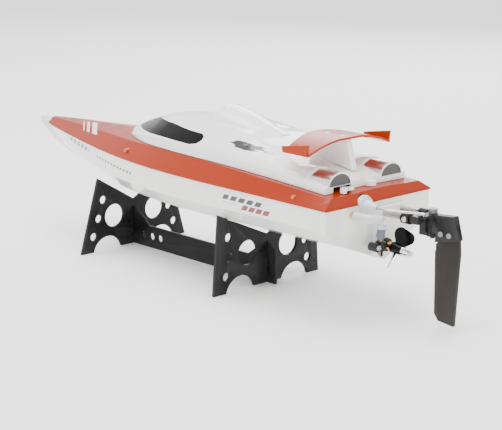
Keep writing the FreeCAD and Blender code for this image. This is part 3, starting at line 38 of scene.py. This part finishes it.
# %% [markdown]
# ## Where things are
# Two lines rule the boat: the transom, from which stations along the boat are counted, and the sheer,
# where the orange deck laps over the white hull. All painted marks are laid out from these two.

# %% Datum lines
MM = 0.001
PAD_DEPTH = 4.5 * MM
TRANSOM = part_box("hull")[0].x + PAD_DEPTH
SHEER = 0.082
print("transom", round(TRANSOM, 4), "sheer", round(SHEER, 4))

# %% [markdown]
# ## Shader sums in plain Python
# A paint pattern is arithmetic on a position. Wiring it by hand takes dozens of Math nodes, so a small
# class wraps a socket, and ordinary signs add the nodes.

# %% A socket that can be added, multiplied and compared
OBJECT_SPACE = 3
POINTINESS = 7
MIX_SHARE, MIX_FIRST, MIX_SECOND, MIX_RESULT = 0, 6, 7, 2


class Sum:
    """A shader socket on which ordinary signs add Math nodes."""

    def __init__(self, kit, socket):
        self.kit = kit
        self.socket = socket

    def math(self, operation, *others):
        return self.kit.node("ShaderNodeMath", {"operation": operation}, self, *others)

    def __add__(self, other):
        return self.math("ADD", other)

    def __sub__(self, other):
        return self.math("SUBTRACT", other)

    def __rsub__(self, other):
        return self.kit.node("ShaderNodeMath", {"operation": "SUBTRACT"}, other, self)

    def __mul__(self, other):
        return self.math("MULTIPLY", other)

    def __gt__(self, other):
        return self.math("GREATER_THAN", other)

    def __abs__(self):
        return self.math("ABSOLUTE")

    __radd__ = __add__
    __rmul__ = __mul__

    def ramp(self, start, end):
        """0 before start and 1 after end, with a smooth rise between."""
        smooth = {"interpolation_type": "SMOOTHSTEP"}
        return self.kit.node("ShaderNodeMapRange", smooth, self, start, end)


class Finish:
    """One material and its Principled shader."""

    def __init__(self, name, colour, rough, **fixed):
        self.material = bpy.data.materials.new(name)
        self.material.use_nodes = True
        self.tree = self.material.node_tree
        self.shader = self.tree.nodes["Principled BSDF"]
        self.set("Base Color", colour)
        self.set("Roughness", rough)
        for key, value in fixed.items():
            self.set(key.replace("_", " "), value)

    def link(self, socket, value):
        if isinstance(value, Sum):
            self.tree.links.new(value.socket, socket)
        elif isinstance(value, tuple) and len(value) == 3 and socket.type == "RGBA":
            socket.default_value = (*value, 1.0)
        else:
            socket.default_value = value

    def node(self, kind, settings, *values, out=0, **named):
        """Add a node, make its settings first, then feed its sockets by order or by name."""
        made = self.tree.nodes.new(kind)
        for key, value in settings.items():
            setattr(made, key, value)
        for socket, value in zip(made.inputs, values):
            self.link(socket, value)
        for key, value in named.items():
            self.link(made.inputs[key], value)
        return Sum(self, made.outputs[out])

    def set(self, name, value):
        self.link(self.shader.inputs[name], value)

    def axes(self):
        """The position over the surface, as three sums in millimetres: station, side, rise."""
        split = self.tree.nodes.new("ShaderNodeSeparateXYZ")
        self.link(split.inputs[0], self.spot())
        x, y, z = (Sum(self, socket) for socket in split.outputs)
        return (x - TRANSOM) * 1000, y * 1000, (z - SHEER) * 1000

    def spot(self):
        """The position over the surface as one vector, in metres."""
        return self.node("ShaderNodeTexCoord", {}, out=OBJECT_SPACE)

    def noise(self, scale, detail=2.0, stretch=(1, 1, 1)):
        """A cloud between 0 and 1, finer along an axis that is stretched."""
        spread = self.node("ShaderNodeMapping", {}, self.spot(), Scale=stretch)
        return self.node("ShaderNodeTexNoise", {}, Vector=spread, Scale=scale, Detail=detail)

    def mix(self, share, first, second):
        """The first colour, with a share of the second over it."""
        made = self.tree.nodes.new("ShaderNodeMix")
        made.data_type = "RGBA"
        for index, value in ((MIX_SHARE, share), (MIX_FIRST, first), (MIX_SECOND, second)):
            self.link(made.inputs[index], value)
        return Sum(self, made.outputs[MIX_RESULT])

    def window(self, value, start, end, edge=0.15):
        """1 between two limits and 0 outside, with a short soft edge."""
        return (value - start).ramp(0.0, edge) * (end - value).ramp(0.0, edge)

    def dashes(self, value, pitch, share):
        """A repeating dash: 1 over a share of every pitch."""
        step = (value * (1.0 / pitch)).math("FRACT")
        return (share - step).ramp(0.0, 0.03)

    def bump(self, height, strength, depth):
        tilt = self.node("ShaderNodeBump", {}, Height=height, Strength=strength, Distance=depth)
        self.set("Normal", tilt)
        return self


print("shader kit ready")

# %% [markdown]
# ## White mouldings
# The hull and the cover are gloss ABS. Real mouldings are never quite flat, so a very faint, broad
# waviness breaks the reflections, and the gloss wavers a little.

# %% White mouldings


def moulded(name, colour, rough, wave=0.04, **fixed):
    """Gloss or satin plastic with a broad faint waviness and a slight change of gloss."""
    made = Finish(name, colour, rough, **fixed)
    broad = made.noise(26.0, 1.0)
    fine = made.noise(900.0, 2.0)
    made.set("Roughness", broad * 0.08 + (rough - 0.04))
    made.bump(broad + fine * 0.06, wave, 0.004)
    return made


WHITE = (0.89, 0.885, 0.86)
COVER_WHITE = (0.90, 0.895, 0.88)
LOW_SHADE = (0.60, 0.60, 0.57)
NAVY = (0.004, 0.010, 0.034)
CRIMSON = (0.22, 0.001, 0.004)
SLATE = (0.20, 0.21, 0.22)
TEAL_BLACK = (0.012, 0.020, 0.022)
INK = (0.012, 0.012, 0.013)


def band(made, along, across, ends, edges, pitch, share, shift=0.0):
    """A painted band between two ends and two edges, cut into dashes."""
    inside = made.window(along, *ends) * made.window(across, *edges)
    return inside * made.dashes(along + shift, pitch, share)


def white_hull():
    """White sides with a faint painted shade low down and plain racing dashes."""
    made = moulded("hull_white", WHITE, 0.16, Coat_Weight=0.6, Coat_Roughness=0.05)
    x, _, z = made.axes()
    # painted shade: the hull darkens towards its bottom, where shade falls on the lower facets
    painted_low_shade = (-14 - z).ramp(0.0, 16.0)
    paint = made.mix(painted_low_shade * 0.30, WHITE, LOW_SHADE)
    slant = x + z * 0.7
    upper = band(made, slant, z, (56.0, 98.0), (-8.2, -4.6), 8.4, 0.72)
    lower = band(made, slant, z, (46.0, 76.0), (-13.0, -9.2), 7.2, 0.80, 3.0)
    thin = made.window(slant, 80.0, 96.0) * made.window(z, -10.6, -9.8)
    bow_line = z - (x - 285) * 0.10 + 3.6
    bow = band(made, x + z, bow_line, (284.0, 330.0), (-2.4, 2.4), 8.0, 0.66)
    small_line = z - (x - 218) * 0.062 + 8.8
    small = band(made, x + z, small_line, (206.0, 268.0), (-1.1, 1.1), 5.4, 0.6)
    paint = made.mix(upper, paint, NAVY)
    paint = made.mix(lower, paint, CRIMSON)
    paint = made.mix(thin * 0.6, paint, SLATE)
    paint = made.mix((bow + small).ramp(0.0, 1.0), paint, TEAL_BLACK)
    made.set("Base Color", paint)
    return made


def white_cover():
    """Gloss white with a dry brush stroke on each side and a ruled panel ahead of the scoop."""
    made = moulded("cover_white", COVER_WHITE, 0.16, Coat_Weight=0.6, Coat_Roughness=0.04)
    x, y, z = made.axes()
    ragged = made.noise(150.0, 3.0, (0.35, 3.0, 3.0)) - 0.5
    line = z - 25.4 - (x - 70) * 0.075 + ragged * 4.0
    reach = (x - 68).ramp(0.0, 26.0) * (119 - x).ramp(0.0, 12.0)
    bristles = (ragged + 0.42).ramp(0.0, 0.08)
    stroke = (reach * 1.9 - abs(line)).ramp(0.0, 0.4) * bristles * (abs(y) > 22)
    rule = made.dashes(x + abs(y) * 0.5, 7.0, 0.13) * made.window(abs(y), 3.0, 14.0)
    frame_line = made.window(abs(y), 13.4, 14.2) + made.window(abs(y), 2.6, 3.2)
    panel = (rule + frame_line).ramp(0.0, 1.0) * made.window(x, 170.0, 216.0) * (z > 29)
    paint = made.mix(panel * 0.75, COVER_WHITE, (0.16, 0.16, 0.17))
    made.set("Base Color", made.mix(stroke, paint, INK))
    return made


hull_white = white_hull()
cover_white = white_cover()
bumper_grey = moulded("bumper_grey", (0.78, 0.75, 0.69), 0.38, 0.06)
print("white finishes:", hull_white.material.name, cover_white.material.name)

# %% [markdown]
# ## The orange deck
# A candy lacquer: deep red-orange pigment under a thin clear coat. The pigment is dark, because a
# bright room lightens it, and the coat adds pale streaks where it mirrors that room. A fine cell
# pattern tilts the surface like flakes, the raked skirt gets a painted shade, and three chevrons mark
# the bow.

# %% Candy orange
CHEVRONS = ((312.0, 318.5), (322.0, 325.5), (329.0, 330.6))
CHEVRON_PAINT = (0.80, 0.80, 0.82)


def candy(name, colour, deep, flashes=False):
    """Deep lacquer with fine flakes, and with chevrons at the bow where asked."""
    made = Finish(name, colour, 0.34, Specular_IOR_Level=0.10, Coat_Weight=0.22,
                  Coat_Roughness=0.04)
    x, y, z = made.axes()
    flakes = made.node("ShaderNodeTexVoronoi", {"feature": "F1"}, made.spot(), Scale=2600.0)
    sweep = made.noise(14.0, 1.0)
    # painted shade: the raked skirt at the transom is darkened towards the deep colour
    painted_skirt_shade = (2.2 - x).ramp(0.0, 6.0)
    paint = made.mix(painted_skirt_shade * 0.85 + sweep * 0.12, colour, deep)
    if flashes:
        chevron = x + abs(y) * 1.25
        bands = sum(made.window(chevron, *ends) for ends in CHEVRONS)
        marks = bands.ramp(0.0, 1.0) * made.window(abs(y), 4.0, 27.0) * (z > 9.5)
        paint = made.mix(marks, paint, CHEVRON_PAINT)
    made.set("Base Color", paint)
    made.set("Roughness", flakes * 0.10 + 0.22)
    made.bump(flakes, 0.05, 0.0004)
    return made


deck_orange = candy("deck_orange", (0.30, 0.022, 0.0001), (0.085, 0.0022, 0.0001), True)
wing_orange = candy("wing_orange", (0.36, 0.030, 0.0001), (0.16, 0.008, 0.0001))
cleat_orange = moulded("cleat_orange", (0.50, 0.11, 0.004), 0.25, Coat_Weight=0.3)
print("orange finishes, with", len(CHEVRONS), "chevrons")

# %% [markdown]
# ## Dark parts
# The screen is a gloss black film that fades to grey at its front top. The rudder, bracket and stand
# are satin nylon and sheet with fine grain, a little lighter at sharp edges where a highlight is
# painted.
# Their specular level is kept low, since a bright room would otherwise turn black plastic grey.

# %% Dark parts
SCREEN = (0.0012, 0.0012, 0.0012)
LOW_SHINE = 0.10


def screen_film():
    """Gloss black that fades to grey at the front top."""
    made = Finish("screen_black", SCREEN, 0.08, Specular_IOR_Level=LOW_SHINE)
    x, _, z = made.axes()
    fade = (x - 196).ramp(0.0, 40.0) * (z - 20).ramp(0.0, 11.0)
    made.set("Base Color", made.mix(fade, SCREEN, (0.09, 0.09, 0.095)))
    return made


def edge_lit_plastic(name, colour, edge, rough, grain=700.0):
    """Dark plastic with fine grain, a little lighter at sharp edges where a highlight is painted."""
    made = Finish(name, colour, rough, Specular_IOR_Level=LOW_SHINE)
    grains = made.noise(grain, 3.0)
    broad = made.noise(60.0, 3.0)
    # painted highlight: sharp edges, found by pointiness, are lightened towards the edge colour
    painted_edge_highlight = made.node("ShaderNodeNewGeometry", {}, out=POINTINESS).ramp(0.52, 0.62)
    made.set("Base Color", made.mix(painted_edge_highlight * 0.7 + broad * 0.15, colour, edge))
    made.set("Roughness", broad * 0.18 + (rough - 0.09))
    made.bump(grains, 0.10, 0.0006)
    return made


screen_black = screen_film()
black_plastic = edge_lit_plastic("black_plastic", (0.0022, 0.0022, 0.0022), (0.04, 0.04, 0.04), 0.28)
blade_black = edge_lit_plastic("blade_black", (0.0036, 0.0030, 0.0027), (0.05, 0.045, 0.04), 0.32, 240.0)
bolt_black = edge_lit_plastic("bolt_black", (0.004, 0.004, 0.004), (0.30, 0.29, 0.28), 0.22)
stand_black = edge_lit_plastic("stand_black", (0.0014, 0.0014, 0.0016), (0.030, 0.030, 0.030), 0.30, 500.0)
prop_black = moulded("prop_black", (0.0030, 0.0030, 0.0033), 0.16, Specular_IOR_Level=0.16)
servo_black = moulded("servo_black", (0.006, 0.006, 0.007), 0.4, Specular_IOR_Level=0.3)
seal_rubber = moulded("seal_rubber", (0.005, 0.005, 0.005), 0.6, Specular_IOR_Level=0.3)
pod_grey = edge_lit_plastic("pod_grey", (0.060, 0.060, 0.058), (0.12, 0.12, 0.12), 0.50, 900.0)
print("dark finishes ready")

# %% [markdown]
# ## Metals
# Turned parts carry rings, drawn parts carry lengthwise lines. Each is one stretched noise, used as
# roughness and as a shallow bump.

# %% Metals


def metal(name, colour, rough, stretch=(1, 1, 1), scale=300.0):
    """Bare metal with fine lines drawn along or round it."""
    made = Finish(name, colour, rough, Metallic=1.0)
    lines = made.noise(scale, 3.0, stretch)
    made.set("Roughness", lines * 0.20 + (rough - 0.10))
    made.bump(lines, 0.25, 0.0002)
    return made


def threaded():
    """Chromed studs with a fine thread cut along them, with a painted highlight on its crests and
    painted shade in its roots.
    """
    made = metal("chrome_stud", (0.66, 0.62, 0.60), 0.22)
    x, y, z = made.axes()
    thread = made.node("ShaderNodeMath", {"operation": "SINE"}, (x + y * 0.08 + z * 0.08) * 7.0)
    made.bump(thread, 0.9, 0.0004)
    # painted highlight on the thread crests and painted shade in its roots, following the same sine as
    # the bump
    made.set("Base Color", made.mix(thread * 0.5 + 0.5, (0.16, 0.125, 0.11), (0.82, 0.79, 0.77)))
    return made


chrome_stud = threaded()
chrome = metal("chrome", (0.80, 0.80, 0.81), 0.12)
bright_steel = metal("bright_steel", (0.62, 0.61, 0.60), 0.25, (1, 8, 8))
tube_steel = metal("tube_steel", (0.17, 0.135, 0.115), 0.26, (1, 1, 6))
brass = metal("brass", (0.78, 0.52, 0.16), 0.22, (8, 1, 1))
aluminium = metal("aluminium", (0.75, 0.75, 0.77), 0.35, (8, 1, 1))
motor_silver = metal("motor_silver", (0.55, 0.55, 0.56), 0.32, (1, 9, 9))
pod_silver = metal("pod_silver", (0.78, 0.78, 0.79), 0.20, (1, 10, 10), 120.0)
print("metals ready")

# %% [markdown]
# ## Clear and soft parts
# The hose and the boot are milky silicone. Part of the light passes and part scatters, so transmission
# is mixed with a pale body colour rather than made clear glass.

# %% Clear and soft parts


def silicone(name, colour, clear, rough=0.22):
    """Milky rubber: a share of the light passes, and the body colour is faintly cloudy."""
    made = Finish(name, colour, rough, IOR=1.41, Coat_Weight=0.4)
    made.set("Transmission Weight", clear)
    cloud = made.noise(180.0, 2.0)
    made.set("Base Color", made.mix(cloud * 0.5, colour, tuple(0.93 * c for c in colour)))
    return made


def hose_skin():
    """Silicone hose whose lower end is darker and ragged."""
    made = silicone("hose_clear", (0.88, 0.90, 0.92), 0.45)
    x, _, z = made.axes()
    end = (-15.5 - z).ramp(0.0, 2.6) * (4.0 - x).ramp(0.0, 4.0)
    ragged = made.noise(420.0, 2.0)
    dark = (end * 1.5 + ragged * 0.9 - 0.9).ramp(0.05, 0.35)
    made.set("Base Color", made.mix(dark, (0.90, 0.92, 0.94), (0.16, 0.20, 0.28)))
    return made


boot_clear = silicone("boot_clear", (0.90, 0.91, 0.93), 0.25, 0.30)
hose_clear = hose_skin()
white_plastic = moulded("white_plastic", (0.80, 0.80, 0.78), 0.42)
lid_clear = silicone("lid_clear", (0.82, 0.82, 0.81), 0.15, 0.25)
battery_wrap = moulded("battery_wrap", (0.06, 0.14, 0.42), 0.22, Coat_Weight=0.5)
wire_red = moulded("wire_red", (0.55, 0.03, 0.02), 0.4)
wire_black = moulded("wire_black", (0.02, 0.02, 0.02), 0.4)


def webbing():
    """Woven strap with fine ribs across it."""
    made = Finish("strap_fabric", (0.03, 0.03, 0.03), 0.85)
    weave = made.node("ShaderNodeTexWave", {"bands_direction": "Y"}, made.spot(),
                      Scale=320.0, Distortion=0.4)
    made.set("Base Color", made.mix(weave, (0.02, 0.02, 0.02), (0.06, 0.06, 0.06)))
    return made.bump(weave, 0.6, 0.0006)


strap_fabric = webbing()
print("soft finishes ready")

# %% [markdown]
# ## Giving out the finishes
# Every solid names its finish in the record, so one table of slots dresses the whole boat. A few pieces
# take a finer variant of their slot.

# %% Giving out the finishes
FINISHES = {
    "hull_white": hull_white, "cover_white": cover_white, "bumper_grey": bumper_grey,
    "deck_orange": deck_orange, "cleat_orange": cleat_orange, "screen_black": screen_black,
    "black_plastic": black_plastic, "blade_black": blade_black, "bolt_black": bolt_black,
    "stand_black": stand_black, "prop_black": prop_black, "servo_black": servo_black,
    "seal_rubber": seal_rubber, "pod_grey": pod_grey, "pod_silver": pod_silver, "chrome": chrome,
    "bright_steel": bright_steel, "tube_steel": tube_steel, "brass": brass, "aluminium": aluminium,
    "motor_silver": motor_silver, "boot_clear": boot_clear, "hose_clear": hose_clear,
    "white_plastic": white_plastic, "lid_clear": lid_clear, "battery_wrap": battery_wrap,
    "wire_red": wire_red, "wire_black": wire_black, "strap_fabric": strap_fabric,
}
SPECIAL = {"rear_wing": wing_orange, "rudder_arms": chrome_stud}
SLOT_OF = {row["node"]: row["material_slot"] for row in frame["record"]["subparts"]}
for name, piece in NODES.items():
    finish = SPECIAL.get(name, FINISHES[SLOT_OF[name]])
    piece.data.materials.clear()
    piece.data.materials.append(finish.material)
    for face in piece.data.polygons:
        face.material_index = 0
print(len(NODES), "solids dressed")

# %% [markdown]
# ## Smooth where it is curved
# The solids arrive as loose triangles. Welding them lets light run over the curved plates of hull and
# cover, and splitting every sharper edge keeps the creases crisp. Sheet parts also get a hair of round
# on their cut edges, because an edge with no radius never catches light.

# %% Smooth shading
WELD_GAP = 2e-6
FLAT_WITHIN, ROUND_OVER, SPLIT_AT = 1.0, 40, 34
SPLIT_OVER = {"hull": 24, "deck": 24, "hatch_cover": 38, "windshield": 38, "bow_bumper": 40}
ROUNDED = {
    "stand_rear_plate": 0.30, "stand_front_plate": 0.30, "stand_bar": 0.30,
    "rudder_blade": 0.25, "rear_wing": 0.25, "rudder_holder": 0.20, "rudder_bracket": 0.20,
}
for name, piece in NODES.items():
    for face in piece.data.polygons:
        face.use_smooth = True
    weld = piece.modifiers.new("weld", "WELD")
    weld.merge_threshold = WELD_GAP
    if name in ROUNDED:
        flat = piece.modifiers.new("flat", "DECIMATE")
        flat.decimate_type = "DISSOLVE"
        flat.angle_limit = math.radians(FLAT_WITHIN)
        edge = piece.modifiers.new("soft_edge", "BEVEL")
        edge.width = ROUNDED[name] * MM
        edge.segments = 1
        edge.limit_method = "ANGLE"
        edge.angle_limit = math.radians(ROUND_OVER)
        piece.modifiers.new("flat_faces", "WEIGHTED_NORMAL").weight = 100
    else:
        split = piece.modifiers.new("split", "EDGE_SPLIT")
        split.split_angle = math.radians(SPLIT_OVER.get(name, SPLIT_AT))
print(len(ROUNDED), "sheet parts rounded")

# %% [markdown]
# ## Floor, light and camera
# A pale floor that runs into the background, one broad lamp above, a softer one off the starboard bow
# that lifts the far side, and a camera with a long lens that stands off the port quarter.

# %% Floor
FLOOR_HALF = 4.0
floor_mesh = bpy.data.meshes.new("floor")
floor_bm = bmesh.new()
bmesh.ops.create_grid(floor_bm, x_segments=1, y_segments=1, size=FLOOR_HALF)
floor_bm.to_mesh(floor_mesh)
floor_bm.free()
floor = bpy.data.objects.new("floor", floor_mesh)
bpy.context.scene.collection.objects.link(floor)
floor_mesh.materials.append(Finish("floor_pale", (0.96, 0.96, 0.96), 0.9).material)
print("floor", 2 * FLOOR_HALF, "metres square")

# %% Light
ROOM_LIGHT = 1.7
AIM = Vector((0.0, 0.0, 0.1))
world = bpy.data.worlds.new("room")
bpy.context.scene.world = world
world.use_nodes = True
room = world.node_tree.nodes["Background"]
room.inputs["Color"].default_value = (1.0, 1.0, 1.0, 1.0)
room.inputs["Strength"].default_value = ROOM_LIGHT


def lamp(name, spot, size, power):
    """A soft rectangular lamp that points at the boat."""
    data = bpy.data.lights.new(name, "AREA")
    data.shape = "RECTANGLE"
    data.size, data.size_y = size
    data.energy = power
    item = bpy.data.objects.new(name, data)
    item.location = spot
    item.rotation_euler = (AIM - Vector(spot)).to_track_quat("-Z", "Y").to_euler()
    bpy.context.scene.collection.objects.link(item)


lamp("overhead", (0.1, 0.1, 1.6), (1.6, 1.2), 40.0)
lamp("far_side", (0.7, -1.3, 0.8), (1.2, 0.8), 12.0)
print("two lamps in a bright room")

# %% Camera
CAMERA_SPOT = Vector((-0.7757, 0.7101, 0.2974))
YAW, PITCH, ROLL = (math.radians(v) for v in (-43.89, -13.63, 0.36))
LENS_MM, SENSOR_MM = 100.96, 36.0
camera_data = bpy.data.cameras.new("camera")
camera_data.lens = LENS_MM
camera_data.sensor_width = SENSOR_MM
camera = bpy.data.objects.new("camera", camera_data)
look = Vector((math.cos(PITCH) * math.cos(YAW), math.cos(PITCH) * math.sin(YAW), math.sin(PITCH)))
turn = look.to_track_quat("-Z", "Y").to_matrix() @ Matrix.Rotation(ROLL, 3, "Z")
camera.rotation_euler = turn.to_euler()
camera.location = CAMERA_SPOT
bpy.context.scene.collection.objects.link(camera)
bpy.context.scene.camera = camera
print("camera at", [round(v, 3) for v in CAMERA_SPOT])
